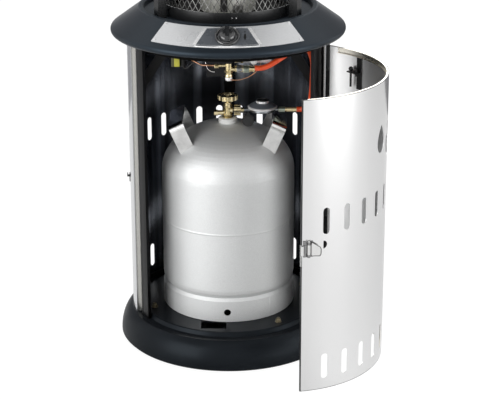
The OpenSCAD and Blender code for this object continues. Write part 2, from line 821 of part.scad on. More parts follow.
module bottle_foot_ring() {
    r = bottle_r;
    z = floor_z;
    h = foot_ring_h;
    color("lightgray") at_bottle() difference() {
        rotate_extrude($fn = fine)
            polygon([[r - 3, z], [r, z + 1], [r, z + h - 8], [r - 6, z + h], [r - 9, z + h],
            [r - 3.5, z + h - 9]]);
        bottle_form(seat);
        translate([-2, -r, z + 24]) rotate([90, 0, 0])
            cylinder(r = 8, h = 20, center = true, $fn = small);
    }
}

module bottle_collar() {
    z = bottle_top - 4;
    color("white") at_bottle() difference() {
        translate([0, 0, z]) rotate_extrude($fn = fine)
            polygon([[0, 0], [21.5, 0], [21.5, 3], [19.5, 4.5], [21.5, 6], [21.5, 8], [19.5, 9.5],
                [21.5, 11], [21.5, 13], [19, 15], [0, 15]]);
        bottle_form(seat);
        translate([0, 0, z - 1]) cylinder(r = 12.2, h = 30, $fn = small);
    }
}

handle_gap = 0.3;

// A strap bent to an inverted U over the shoulder, leaning outwards
module strap_handle() {
    half = 76;
    base_x = 92;
    base_z = shoulder_at(norm([base_x, half]));
    // The strap's top edge stays just under the regulator
    up = (valve_z - reg_drop - handle_gap - base_z - strap_w / 2 * sin(strap_lean)) / cos(strap_lean);
    corner = 16;
    module u_shape(hw, top) {
        translate([-hw + corner, 0]) square([2 * (hw - corner), top]);
        translate([-hw, -70]) square([2 * hw, top + 70 - corner]);
        for (s = [-1, 1])
            translate([s * (hw - corner), top - corner]) circle(r = corner, $fn = small);
    }
    translate([base_x, 0, base_z]) rotate([0, strap_lean, 0])
        rotate([0, 0, 90]) rotate([90, 0, 0]) translate([0, 0, -strap_w / 2]) linear_extrude(strap_w)
            difference() {
            u_shape(half, up);
            translate([0, -strap_t]) u_shape(half - strap_t, up);
        }
}

module bottle_handles() {
    color("lightgray") at_bottle() for (s = [0, 1])
        mirror([s, 0, 0]) difference() {
            strap_handle();
            bottle_form(seat);
            translate([0, 0, shoulder_z - 300]) cylinder(r = 400, h = 300, $fn = small);
        }
}

module bottle_valve() {
    z = bottle_top;
    color("goldenrod") at_bottle() difference() {
        union() {
            translate([0, 0, z - 28]) cylinder(r = 12, h = 40, $fn = small);
            translate([0, 0, z + 11]) cylinder(r1 = 9, r2 = 11, h = 7, $fn = small);
            translate([0, 0, z + 16]) cylinder(r = 11, h = 6, $fn = 6);
            translate([0, 0, z + 20]) cylinder(r = 9, h = 26, $fn = small);
            translate([0, 0, z + 35]) cylinder(r = 10.5, h = 6, $fn = 6);
            translate([0, 0, valve_z]) rotate([0, 90, 0]) cylinder(r = 7.5, h = 13, $fn = small);
            translate([0, 0, valve_z]) rotate([0, 90, 0]) cylinder(r = 5.6, h = 24, $fn = small);
            translate([0, 0, valve_z - 6]) rotate([0, -90, 0]) cylinder(r = 5.5, h = 26, $fn = small);
            translate([-22, 0, valve_z - 6]) rotate([0, -90, 0]) cylinder(r = 7, h = 9, $fn = 6);
        }
        translate([0, 0, z + 30]) cylinder(r = 4 + run, h = 30, $fn = small);
    }
}

module handwheel() {
    lobes = 12;
    color("goldenrod") at_bottle() translate([0, 0, wheel_z]) {
        difference() {
            union() {
                cylinder(r = wheel_r - 2, h = 10, $fn = fine);
                for (i = [0:lobes - 1])
                    rotate([0, 0, i * 360 / lobes]) translate([wheel_r - 3.6, 0, 0])
                        cylinder(r = 3.6, h = 10, $fn = small);
            }
            translate([0, 0, 4]) cylinder(r = wheel_r - 6, h = 10, $fn = fine);
        }
        translate([0, 0, -24 + 4]) cylinder(r = 4, h = 32, $fn = small);
        translate([0, 0, 3]) cylinder(r = 6, h = 7, $fn = 6);
    }
}

union_x = 14.5;

module union_nut() {
    lobes = 8;
    color("goldenrod") at_bottle() translate([union_x, 0, valve_z]) rotate([0, 90, 0]) difference() {
        union() {
            cylinder(r = 11.5, h = 15, $fn = small);
            for (i = [0:lobes - 1])
                rotate([0, 0, i * 360 / lobes]) translate([10.6, 0, 0])
                    cylinder(r = 2.4, h = 15, $fn = small);
            translate([0, 0, 14]) cylinder(r = 6.5, h = 8, $fn = small);
        }
        translate([0, 0, -1]) cylinder(r = 5.6 + run, h = 11.5, $fn = small);
    }
}

// Depth of the regulator below the middle of its inlet
reg_drop = 5;

module at_regulator() {
    translate([reg_x + bottle_x, 0, valve_z]) children();
}

module regulator_body() {
    x_in = reg_x - union_x - 22 - seat;
    color("gray") at_regulator() {
        translate([0, 0, -reg_drop]) rotate_extrude($fn = fine)
            polygon([[0, 0], [16, 0], [21, 2], [29, 4], [30, 6], [30, 9.5], [0, 9.5]]);
        rotate([0, -90, 0]) cylinder(r = 4, h = x_in, $fn = small);
        translate([0, 0, 1]) rotate([0, 90, 0]) cylinder(r = 3.4, h = 36, $fn = small);
    }
}

module regulator_cover() {
    color("slategray") at_regulator() translate([0, 0, 4.5 + seat]) rotate_extrude($fn = fine)
        polygon([[0, 0], [reg_r - 3, 0], [reg_r, 1.5], [reg_r, 4], [reg_r - 4, 7], [20, 12.5],
            [15.5, 13.5], [15.5, 11], [0, 11]]);
}

module regulator_cap() {
    color("silver") at_regulator() translate([0, 0, 15.5 + seat * 2]) rotate_extrude($fn = fine)
        polygon([[0, 0], [15 - seat, 0], [15 - seat, 7], [14, 9], [11.5, 9], [11, 7.5], [0, 7.5]]);
}

strap_x = 11.1;
// Height of the valve's outlet above the middle of the dust cap
cap_below = 16.5;
cap_p = [44, -28, valve_z - cap_below];
cap_r = 13.6;
// Height of the dust cap's pin above its middle
cap_drop = cap_r + 3;

// Rubber strap that is looped round the valve's outlet and holds the dust cap
module cap_strap() {
    x = strap_x + bottle_x;
    loop_r = 9;
    y = cap_p[1] - 3;
    color("black") {
        translate([x, 0, valve_z]) rotate([0, 90, 0]) difference() {
            cylinder(r = loop_r, h = 2.5, $fn = small);
            translate([0, 0, -1]) cylinder(r = 7.5 + run, h = 5, $fn = small);
        }
        bent_bar([[x + 1.25, 0.2 - loop_r, valve_z], [x + 1.25, -17, valve_z + 1],
            [x + 22, y, valve_z + 5], [cap_p[0], y, cap_p[2] + cap_drop]], 1.2, 16);
        translate([cap_p[0], y, cap_p[2] + cap_drop]) rotate([-90, 0, 0])
            cylinder(r = 1.2, h = 5.4, $fn = small);
        translate([cap_p[0], y + 4.4, cap_p[2] + cap_drop]) rotate([-90, 0, 0])
            cylinder(r = 2, h = 1.2, $fn = small);
    }
}

module dust_cap() {
    color("black") translate(cap_p) difference() {
        union() {
            translate([0, 4.5, 0]) rotate([90, 0, 0]) cylinder(r = cap_r, h = 5.4, $fn = fine);
            translate([0, -0.8, 0]) rotate([90, 0, 0]) cylinder(r = cap_r - 1.6, h = 4, $fn = fine);
            translate([-3.2, -0.9, 0]) cube([6.4, 1.9, cap_drop]);
            translate([0, 1, cap_drop]) rotate([90, 0, 0]) cylinder(r = 3.2, h = 1.9, $fn = small);
        }
        translate([0, 10, cap_drop]) rotate([90, 0, 0]) cylinder(r = 1.2 + run, h = 20, $fn = small);
        translate([0, 10, 0]) rotate([90, 0, 0]) cylinder(r = cap_r - 3, h = 8.6, $fn = small);
    }
}

tail_x = reg_x + bottle_x + 36 + seat;
hose_start = [154, 0, valve_z + 1];

module hose_tail() {
    color("darkseagreen") translate([tail_x, 0, valve_z + 1]) rotate([0, 90, 0]) {
        cylinder(r = 6.8, h = 15, $fn = 6);
        translate([0, 0, 15 - eps]) cylinder(r = 4.2, h = 4, $fn = small);
        translate([0, 0, 18]) cylinder(r = 5.6, h = hose_start[0] - tail_x - 18 - seat, $fn = small);
    }
}

// How far the hose swings out to the side of the cabinet
hose_side = house_r - 40;
// Route of the gas hose: out of the tail and up the right side, then over under
// the control ring and back down to the valve's inlet. Each row is the part of
// the way to the side, and the distances along Y and Z from that fitting.
hose_pts = concat(
    [for (p = [[0, 0, 0], [0.24, 0, 0], [0.51, -4, 3], [0.76, -9, 11], [0.91, -16, 25], [0.97, -26, 44],
        [1, -38, 65], [1, -51, 87], [1, -65, 110], [0.97, -80, 132]])
        hose_start + [p[0] * (hose_side - hose_start[0]), p[1], p[2]]],
    [for (p = [[0.96, 78, 6], [0.907, 66, 22], [0.837, 50, 32], [0.744, 36, 35], [0.636, 24, 32],
        [0.527, 15, 26],
        [0.419, 9, 18], [0.31, 5, 10], [0.202, 2, 3], [0.101, 0, 0], [0, 0, 0]])
        hose_end + [p[0] * (hose_side - hose_end[0]), p[1], p[2]]]);

// Joins the rings of points into one closed tube
module hose_sweep(pts, r, sides) {
    n = len(pts);
    function tangent(i) = let (d = pts[min(i + 1, n - 1)] - pts[max(i - 1, 0)]) d / norm(d);
    function side_of(t) = let (s = cross(t, [0.3, 1, 0.2])) s / norm(s);
    rings = [for (i = [0:n - 1]) let (t = tangent(i), u = side_of(t), v = cross(t, u))
        [for (k = [0:sides - 1]) pts[i] + r * (cos(k * 360 / sides) * u + sin(k * 360 / sides) * v)]];
    verts = [for (g = rings) for (p = g) p];
    walls = [for (i = [0:n - 2], k = [0:sides - 1])
        let (a = i * sides + k, b = i * sides + (k + 1) % sides)
        each [[a, b, b + sides], [a, b + sides, a + sides]]];
    last = (n - 1) * sides;
    ends = [for (k = [1:sides - 2]) each [[0, k + 1, k], [last, last + k, last + k + 1]]];
    polyhedron(points = verts, faces = concat(walls, ends));
}

module gas_hose() {
    color("orangered") hose_sweep(hose_pts, hose_d / 2, 12);
}

module door_panel() {
    fold = 9;
    color("silver") on_door() difference() {
        union() {
            arc_wall(house_r, sheet_t, door_z0, door_z1 - door_z0, -door_half, hinge_az - 8 * deg_mm);
            arc_wall(house_r - eps, rim_d, door_z0, door_z1 - door_z0, -door_half,
                -door_half + sheet_t * deg_mm);
        }
        slot_rows(0, 10);
        translate([0, 0, door_z1 - 128]) drop_cutter(drop_w, drop_h);
        for (s = [-1, 1])
            at_az(s * 14.5) translate([0, 0, door_z1 - 121]) drop_cutter(drop_w * 0.88, drop_h * 0.7);
        // Half-round finger hole beside the latch
        at_az(-door_half + 12) translate([0, -house_r, latch_z + 6]) intersection() {
            rotate([90, 0, 0]) cylinder(r = 8.4, h = 20, center = true, $fn = small);
            translate([0, -15, -15]) cube([30, 30, 30]);
        }
    }
}

// Folded trim along the inside of the door's edge, at height z
module door_rim(z) {
    r = house_in - seat;
    a = door_half - 3;
    color("silver") on_door() {
        arc_wall(r, 1, z, rim_h, -a, a - 3);
        arc_wall(r - eps, rim_d - 1, z + rim_h - 1.5, 1.5, -a, a - 3);
        arc_wall(r - eps, rim_d - 1, z, 1.5, -a, a - 3);
    }
}

module door_top_rim() {
    door_rim(door_z1 - rim_h);
}

module door_foot_rim() {
    door_rim(door_z0);
}

// The door's leaf is the fixed leaf, mirrored over the hinge line
module hinge_door_leaf() {
    color("black") on_door() rotate([0, 0, 2 * hinge_az]) mirror([1, 0, 0]) hinge_leaf(1);
}

module door_bracket() {
    // Stay bracket inside the top of the door, with its shelf, bolt and wing nut
    a = 48;
    z = door_z1 - 84;
    r = house_in - seat;
    color("dimgray") on_door() at_az(a) {
        intersection() {
            translate([-7, -r, z]) cube([14, 3, 84 - rim_h - 1]);
            cylinder(r = r, h = 2000, $fn = fine);
        }
        translate([-7, -r + 1.5, z + 36]) cube([34, 13, 2]);
        translate([2, -r + 9, z + 30]) cylinder(r = 2, h = 20, $fn = small);
        translate([2, -r + 9, z + 38]) cylinder(r = 5, h = 5, $fn = 6);
        translate([19, -r + 9, z + 4]) cylinder(r = 2.4, h = 42, $fn = small);
        translate([19, -r + 9, z + 44]) sphere(r = 5, $fn = small);
    }
}

latch_az = -door_half + 25.75 * deg_mm;
// Place of the latch's pin: along the sheet and out from it
lever_pin = [-11, 5];
barrel_r = 3.2;

// Puts its children on the door's outside at the latch: +X along the sheet,
// -Y out from it
module at_latch() {
    on_door() at_az(latch_az) translate([0, -house_r - seat, latch_z]) children();
}

module latch_base() {
    color("silver") at_latch() difference() {
        union() {
            translate([-21, -1.5, -16]) cube([20, 1.5, 34]);
            for (z = [-15.5, 12]) {
                translate([lever_pin[0], -lever_pin[1], z]) cylinder(r = barrel_r, h = 5.5, $fn = small);
                translate([lever_pin[0] - barrel_r, -lever_pin[1], z]) cube([2 * barrel_r, 4, 5.5]);
            }
            translate([-20, -3, -8]) cube([4, 2, 18]);
        }
        translate([lever_pin[0], -lever_pin[1], -20]) cylinder(r = 1.5 + run, h = 45, $fn = small);
    }
}

// The lever's outline, along the sheet and up
lever_x0 = lever_pin[0] + barrel_r + 0.4;
lever_pts = [[lever_x0, 11.6], [-5.5, 17.3], [12.6, 5.1], [14.7, 1], [14.5, -10.2], [12, -14.3],
    [-6, -12.2], [lever_x0, -9.6]];

module latch_lever() {
    color("silver") at_latch() {
        translate([0, -lever_pin[1], 0]) rotate([90, 0, 0]) linear_extrude(1.6) polygon(lever_pts);
        translate([lever_pin[0], -lever_pin[1], -9.6]) cylinder(r = barrel_r, h = 21.2, $fn = small);
        translate([lever_pin[0], -lever_pin[1], -16.5]) cylinder(r = 1.5, h = 35.5, $fn = small);
        translate([lever_pin[0], -lever_pin[1] - 1.6, -9]) cube([barrel_r + 1.5, 1.6, 20]);
    }
}

module latch_tongue() {
    // Strip past the door's edge, with a bevelled foot
    color("silver") at_latch() difference() {
        translate([-27.6, -2.5, -34.7]) cube([1.6, 5.5, 46.3]);
        translate([-30, -2.5, -40]) rotate([-45, 0, 0]) cube([10, 20, 5]);
    }
    color("silver") at_latch() translate([-27, -2.5, -12]) cube([5.8, 1, 20]);
}

base_dish();
base_bolts();
housing_shell();
foot_angle();
side_hook();
jamb_left();
jamb_right();
hinge_fixed_leaf();
hinge_pin();
ring_carrier();
brace_left();
brace_right();
brace_rear();
control_ring();
control_plate();
control_inset();
plate_rivets();
knob_bezel();
gas_valve();
valve_outlet();
inlet_fitting();
burner_pipe();
pilot_pipe();
igniter_box();
burner_pan();
burner_head();
emitter_band();
emitter_mesh();
emitter_cap();
pilot_burner();
post_left();
post_right();
post_rear();
reflector();
reflector_nuts();
bottle_body();
bottle_foot_ring();
bottle_collar();
bottle_handles();
bottle_valve();
union_nut();
regulator_body();
regulator_cover();
regulator_cap();
cap_strap();
hose_tail();
gas_hose();
dust_cap();
handwheel();
valve_spindle();
control_knob();
door_panel();
door_top_rim();
door_foot_rim();
hinge_door_leaf();
door_bracket();
latch_base();
latch_lever();
latch_tongue();
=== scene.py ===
# Looks of a gas patio heater: camera, light, finishes and the pieces that are
# finer than the CAD model, all in metres in the CAD model's own frame.
import math

import bpy
from mathutils import Matrix, Vector


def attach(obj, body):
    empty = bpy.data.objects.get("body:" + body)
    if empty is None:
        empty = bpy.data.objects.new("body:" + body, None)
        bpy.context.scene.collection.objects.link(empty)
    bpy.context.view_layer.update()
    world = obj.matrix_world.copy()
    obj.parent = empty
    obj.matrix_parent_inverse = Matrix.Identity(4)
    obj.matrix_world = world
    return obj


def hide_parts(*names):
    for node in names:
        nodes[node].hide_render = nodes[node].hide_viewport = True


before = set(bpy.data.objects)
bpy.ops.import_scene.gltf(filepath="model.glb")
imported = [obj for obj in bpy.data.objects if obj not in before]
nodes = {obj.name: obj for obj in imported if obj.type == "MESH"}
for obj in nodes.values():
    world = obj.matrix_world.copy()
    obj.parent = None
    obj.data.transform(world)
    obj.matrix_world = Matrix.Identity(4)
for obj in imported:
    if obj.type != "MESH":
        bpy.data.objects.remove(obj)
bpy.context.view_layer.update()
bpy.ops.object.select_all(action="DESELECT")
scene = bpy.context.scene


# Camera, at the photograph's height and tilt

camera_data = bpy.data.cameras.new("view_camera")
camera = bpy.data.objects.new("view_camera", camera_data)
scene.collection.objects.link(camera)
camera.location = (0.03104, -3.45350, 1.58539)
camera.rotation_euler = tuple(math.radians(a) for a in (70.9501, 0.3114, 0.3801))
camera_data.lens = 114.482
camera_data.shift_x = 0.0406
camera_data.shift_y = -0.0641
scene.camera = camera


# Gas hose, from the regulator's tail up the right of the opening to the inlet fitting

hose_radius = 0.006
# Its middle line, in millimetres
hose_route = [
    (154, 0, 533), (161.92, 0, 533), (170.83, -4, 536), (179.08, -9, 544), (184.03, -16, 558),
    (186.01, -26, 577), (187, -38, 598), (187, -51, 620), (187, -65, 643), (186.01, -80, 665),
    (181.84, -94, 684), (175, -106, 700), (165.97, -122, 710), (153.98, -136, 713), (140.04, -148, 710),
    (125.98, -157, 704), (112.05, -163, 696), (97.99, -167, 688), (84.06, -170, 681), (71.03, -172, 678),
    (58, -172, 678),
]
hose_points = [Vector(p) / 1000 for p in hose_route]
hose_curve = bpy.data.curves.new("hose_line", "CURVE")
hose_curve.dimensions = "3D"
# The round section is one metre here, and each point brings it down to the hose's own radius
hose_curve.bevel_depth = 1
hose_curve.bevel_resolution = 6
hose_curve.resolution_u = 6
hose_curve.use_fill_caps = True
hose_spline = hose_curve.splines.new("BEZIER")
hose_spline.bezier_points.add(len(hose_points) - 1)
for knot, place in zip(hose_spline.bezier_points, hose_points):
    knot.co = place
    knot.radius = hose_radius
    knot.handle_left_type = knot.handle_right_type = "AUTO"
hose = bpy.data.objects.new("gas_hose_line", hose_curve)
scene.collection.objects.link(hose)
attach(hose, "cabinet")
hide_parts("gas_hose")


# Finishes

def start_material(name, colour, rough, metal=0.0, **sockets):
    """A plain finish, with any other sockets of its shader set by name."""
    mat = bpy.data.materials.new(name)
    mat.use_nodes = True
    mat.diffuse_color = (*colour, 1)
    shader = mat.node_tree.nodes["Principled BSDF"]
    shader.inputs["Base Color"].default_value = (*colour, 1)
    shader.inputs["Roughness"].default_value = rough
    shader.inputs["Metallic"].default_value = metal
    for socket, value in sockets.items():
        shader.inputs[socket.replace("_", " ")].default_value = value
    return mat, shader


def grain(mat, scale, detail, stretch=(1, 1, 1)):
    """Noise on the piece's own coordinates, drawn out by stretch."""
    tree = mat.node_tree
    coords = tree.nodes.new("ShaderNodeTexCoord")
    place = tree.nodes.new("ShaderNodeMapping")
    place.inputs["Scale"].default_value = stretch
    noise = tree.nodes.new("ShaderNodeTexNoise")
    noise.inputs["Scale"].default_value = scale
    noise.inputs["Detail"].default_value = detail
    tree.links.new(coords.outputs["Object"], place.inputs["Vector"])
    tree.links.new(place.outputs["Vector"], noise.inputs["Vector"])
    return noise.outputs["Fac"]


def spread(mat, value, low, high, from_low=0.3, from_high=0.7):
    """The value brought into the range low to high."""
    node = mat.node_tree.nodes.new("ShaderNodeMapRange")
    ends = {"From Min": from_low, "From Max": from_high, "To Min": low, "To Max": high}
    for socket, number in ends.items():
        node.inputs[socket].default_value = number
    mat.node_tree.links.new(value, node.inputs["Value"])
    return node.outputs["Result"]


def tint(mat, value, dark, light):
    """A colour between dark and light."""
    node = mat.node_tree.nodes.new("ShaderNodeMix")
    node.data_type = "RGBA"
    node.inputs["A"].default_value = (*dark, 1)
    node.inputs["B"].default_value = (*light, 1)
    mat.node_tree.links.new(value, node.inputs["Factor"])
    return node.outputs["Result"]


def relief(mat, shader, value, strength, depth):
    """Raises and sinks the surface by the value."""
    node = mat.node_tree.nodes.new("ShaderNodeBump")
    node.inputs["Strength"].default_value = strength
    node.inputs["Distance"].default_value = depth
    mat.node_tree.links.new(value, node.inputs["Height"])
    mat.node_tree.links.new(node.outputs["Normal"], shader.inputs["Normal"])


def wire(mat, value, shader, socket):
    """Lets the value drive one socket of the shader."""
    mat.node_tree.links.new(value, shader.inputs[socket])


def painted(name, dark, light, rough, gloss=0.25, **sockets):
    """Powder coat: fine orange peel, with a soft drift of tone and gloss."""
    mat, shader = start_material(name, light, rough, Specular_IOR_Level=gloss, **sockets)
    drift = grain(mat, 9, 2)
    wire(mat, tint(mat, spread(mat, drift, 0, 1), dark, light), shader, "Base Color")
    wire(mat, spread(mat, drift, rough - 0.05, rough + 0.06), shader, "Roughness")
    relief(mat, shader, grain(mat, 900, 2), 0.25, 0.00004)
    return mat


# Rolling lines of bare sheet: how many there are to a metre, and how deep
sheet_lines = 260
line_depth = 0.000012
# Noise drawn out along the height of the piece
upright = (1, 1, 0.04)


def brushed(name, colour, rough, stretch=upright, lines=sheet_lines, shade=0.06, metal=1.0):
    """Bare sheet with fine rolling lines, and smears in its gloss."""
    mat, shader = start_material(name, colour, rough, metal)
    lines_value = grain(mat, lines, 4, stretch)
    low = tuple(c * (1 - shade) for c in colour)
    wire(mat, tint(mat, spread(mat, lines_value, 0, 1), low, colour), shader, "Base Color")
    wire(mat, spread(mat, grain(mat, 14, 3), rough * 0.85, rough * 1.25), shader, "Roughness")
    relief(mat, shader, lines_value, 0.2, line_depth)
    return mat


def moulded(name, colour, rough, fleck=1400, depth=0.00002, **sockets):
    """Moulded plastic or rubber with a fine, even grain."""
    mat, shader = start_material(name, colour, rough, 0.0, **sockets)
    low = tuple(c * 0.85 for c in colour)
    wire(mat, tint(mat, spread(mat, grain(mat, 30, 2), 0, 1), low, colour), shader, "Base Color")
    wire(mat, spread(mat, grain(mat, 60, 2), rough - 0.04, rough + 0.05), shader, "Roughness")
    relief(mat, shader, grain(mat, fleck, 2), 0.2, depth)
    return mat


def turned(name, dark, light, rough, metal=1.0):
    """Machined or cast metal with tarnish in patches."""
    mat, shader = start_material(name, light, rough, metal)
    patches = grain(mat, 120, 4)
    wire(mat, tint(mat, spread(mat, patches, 0, 1, 0.35, 0.65), dark, light), shader, "Base Color")
    wire(mat, spread(mat, patches, rough + 0.1, rough - 0.04), shader, "Roughness")
    relief(mat, shader, grain(mat, 720, 2), 0.2, 0.00002)
    return mat


def away_from(mat, middle):
    """Distance from the upright line through middle, on the piece's own coordinates."""
    tree = mat.node_tree
    coords = tree.nodes.new("ShaderNodeTexCoord")
    shift = tree.nodes.new("ShaderNodeVectorMath")
    shift.operation = "SUBTRACT"
    shift.inputs[1].default_value = (*middle, 0)
    level = tree.nodes.new("ShaderNodeVectorMath")
    level.operation = "MULTIPLY"
    level.inputs[1].default_value = (1, 1, 0)
    length = tree.nodes.new("ShaderNodeVectorMath")
    length.operation = "LENGTH"
    tree.links.new(coords.outputs["Object"], shift.inputs[0])
    tree.links.new(shift.outputs["Vector"], level.inputs[0])
    tree.links.new(level.outputs["Vector"], length.inputs[0])
    return length.outputs["Value"]


def along(mat, way="Z"):
    """Place along one of the piece's own directions, its height unless another is named."""
    tree = mat.node_tree
    coords = tree.nodes.new("ShaderNodeTexCoord")
    parts = tree.nodes.new("ShaderNodeSeparateXYZ")
    tree.links.new(coords.outputs["Object"], parts.inputs["Vector"])
    return parts.outputs[way]


def two_tone(name, measure, edge, first, second, rough, metal=1.0, lined=False, streaks=None):
    """One piece in two tones, two finishes on some pieces and a finish beside painted shade or highlight on
    others: the measure passes from first to second between the edge's two ends.
    """
    mat, shader = start_material(name, second, rough[1], metal)
    part = spread(mat, measure(mat), 0, 1, *edge)
    blend = tint(mat, part, first, second)
    wire(mat, blend, shader, "Base Color")
    if streaks:
        # Upright streaks in the first of the two tones: painted reflections on the housing's inside, random
        # lighter and darker tone on the burner
        streaked = tint(mat, spread(mat, grain(mat, 22, 2, (1, 1, 0.06)), 0, 1, 0.5, 0.72), *streaks)
        mat.node_tree.links.new(streaked, blend.node.inputs["A"])
    wire(mat, spread(mat, part, rough[0], rough[1], 0, 1), shader, "Roughness")
    if lined:
        relief(mat, shader, grain(mat, sheet_lines, 4, upright), 0.2, line_depth)
    return mat


def from_axis(middle=(0, 0)):
    """A measure for two_tone: distance from an upright line."""
    return lambda mat: away_from(mat, middle)


def sideways(mat):
    """A measure for two_tone: place from left to right."""
    return along(mat, "X")


# Near black for the painted shade along the edges of the sheet
edge_shade_dark = (0.05, 0.05, 0.052)


def dark_line(mat, measured, edge):
    """Painted shade as a dark line along a sheet's edge, over the finish where what is measured is past the
    edge's second end.
    """
    shader = mat.node_tree.nodes["Principled BSDF"]
    below = shader.inputs["Base Color"].links[0].from_socket
    over = tint(mat, spread(mat, measured, 0, 1, *edge), edge_shade_dark, edge_shade_dark)
    mat.node_tree.links.new(below, over.node.inputs["A"])
    wire(mat, over, shader, "Base Color")


# Coats of paint
slate_coat = painted("slate_coat", (0.006, 0.008, 0.011), (0.010, 0.0125, 0.017), 0.36, gloss=0.4,
                     Specular_Tint=(0.62, 0.82, 1, 1))
base_coat = painted("base_coat", (0.006, 0.0072, 0.009), (0.0085, 0.0102, 0.0125), 0.34, gloss=0.12,
                    Specular_Tint=(0.75, 0.88, 1, 1))
# The control ring is dull inside its lip
ring_lip = (0.196, 0.2)
wire(slate_coat, spread(slate_coat, away_from(slate_coat, (0, 0)), 0.85, 0.38, *ring_lip),
     slate_coat.node_tree.nodes["Principled BSDF"], "Roughness")
black_coat = painted("black_coat", (0.004, 0.004, 0.0045), (0.007, 0.007, 0.0075), 0.38)
satin_black = painted("satin_black", (0.007, 0.0075, 0.008), (0.012, 0.0125, 0.0135), 0.28, gloss=0.6)
soot_black, soot_shader = start_material("soot_black", (0.006, 0.006, 0.006), 0.75,
                                         Specular_IOR_Level=0.03)
relief(soot_black, soot_shader, grain(soot_black, 700, 3), 0.3, 0.00005)

# Bare sheet: the housing and the door are polished outside, past this distance from their middle; the
# housing's inside is painted dark as shade, with upright streaks of painted reflection
sheet_skin = (0.2262, 0.2268)
door_middle = (0.10714, -0.27766)
door_edge = (0.1469, -0.49861)
shell_steel = two_tone("shell_steel", from_axis(), sheet_skin, (0.055, 0.06, 0.075), (0.86, 0.87, 0.88),
                       (0.2, 0.14), lined=True, streaks=((0.1, 0.105, 0.12), (0.6, 0.64, 0.72)))
door_steel = two_tone("door_steel", from_axis(door_middle), sheet_skin, (0.92, 0.92, 0.92), (0.9, 0.9, 0.9),
                      (0.32, 0.14), lined=True)
# The door's foot, its top and its free edge get dark lines of painted shade
dark_line(door_steel, along(door_steel), (0.0785, 0.0775))
dark_line(door_steel, along(door_steel), (0.7026, 0.7034))
dark_line(door_steel, away_from(door_steel, door_edge), (0.0036, 0.0032))
handle_steel = brushed("handle_steel", (0.85, 0.85, 0.84), 0.2, (1, 1, 1), 60, 0.25)
rim_steel = brushed("rim_steel", (0.82, 0.79, 0.7), 0.25)
sheet_steel = brushed("sheet_steel", (0.86, 0.86, 0.85), 0.16)
latch_steel = brushed("latch_steel", (0.3, 0.3, 0.3), 0.2)
plain_steel = brushed("plain_steel", (0.62, 0.61, 0.58), 0.3, (1, 1, 1), 120, 0.2)
plate_steel = brushed("plate_steel", (0.74, 0.75, 0.76), 0.3, (0.05, 1, 1), 700, 0.08, metal=0.3)
hood_steel = brushed("hood_steel", (0.5, 0.5, 0.51), 0.24, (1, 1, 1), 200, 0.05)
# The jambs are painted dark as shade on the side that turns into the opening
jamb_shade, jamb_light = (0.012, 0.012, 0.013), (0.75, 0.745, 0.72)
left_jamb_steel = two_tone("left_jamb_steel", sideways, (-0.2012, -0.2022), jamb_shade, jamb_light,
                           (0.3, 0.18), lined=True)
right_jamb_steel = two_tone("right_jamb_steel", sideways, (0.2105, 0.2113), jamb_shade, jamb_light,
                            (0.3, 0.18), lined=True)
# The burner's tube is bright, and its inner tube, seen in the three gaps, is painted near black as shade
burner_steel = two_tone("burner_steel", from_axis(), (0.0599, 0.0597), (0.85, 0.84, 0.8),
                        (0.008, 0.008, 0.008), (0.4, 0.7), 0.0,
                        streaks=((0.5, 0.5, 0.45), (0.98, 0.97, 0.92)))

# Turned and cast metal
bright_steel = turned("bright_steel", (0.66, 0.66, 0.66), (0.9, 0.9, 0.9), 0.12)
# Near black for the painted shade round the latch
latch_shade_dark = turned("latch_shade_dark", (0.03, 0.03, 0.03), (0.07, 0.07, 0.07), 0.3)
brass = turned("brass", (0.5, 0.4, 0.2), (0.88, 0.76, 0.48), 0.24)
dull_brass = turned("dull_brass", (0.12, 0.105, 0.07), (0.32, 0.28, 0.19), 0.4)
# Chrome with a painted glare: a pale colour with little metal keeps it bright in shade, where plain chrome
# would show dark
glare_chrome = turned("glare_chrome", (0.75, 0.75, 0.75), (0.95, 0.95, 0.95), 0.25, metal=0.35)
copper = turned("copper", (0.42, 0.19, 0.09), (0.85, 0.47, 0.3), 0.25)
zinc = turned("zinc", (0.2, 0.21, 0.22), (0.38, 0.4, 0.42), 0.34)
fitting_green = turned("fitting_green", (0.26, 0.3, 0.24), (0.5, 0.55, 0.46), 0.3)
emitter_wire = turned("emitter_wire", (0.06, 0.06, 0.058), (0.2, 0.2, 0.195), 0.3)
# The hose tail's hexagon is grey-green and its barb is brass
tail_brass = two_tone("tail_brass", sideways, (0.1275, 0.128), (0.42, 0.47, 0.39), (0.84, 0.71, 0.42),
                      (0.34, 0.24), 0.8)
# The regulator's cover is grey with a bright rim of painted highlight, and its cap silver with a black top
regulator_grey = two_tone("regulator_grey", from_axis((0.077, 0)), (0.0305, 0.0315), (0.15, 0.165, 0.19),
                          (0.8, 0.8, 0.8), (0.34, 0.2), 0.3)
cap_silver = two_tone("cap_silver", along, (0.5545, 0.5549), (0.9, 0.9, 0.9), (0.012, 0.012, 0.012),
                      (0.16, 0.4), 0.5)

# Plastic and rubber
knob_black = moulded("knob_black", (0.02, 0.021, 0.023), 0.2, Specular_IOR_Level=1.0)
inset_slate = moulded("inset_slate", (0.11, 0.12, 0.135), 0.26)
rubber_black = moulded("rubber_black", (0.012, 0.012, 0.012), 0.5)
collar_white = moulded("collar_white", (0.93, 0.93, 0.91), 0.35)
sleeve_yellow = moulded("sleeve_yellow", (0.55, 0.52, 0.06), 0.35)
sleeve_shade = moulded("sleeve_shade", (0.09, 0.085, 0.03), 0.4)
mark_black = moulded("mark_black", (0.004, 0.004, 0.004), 0.4)
hose_rubber = moulded("hose_rubber", (0.85, 0.095, 0.025), 0.3, 500, 0.00004)


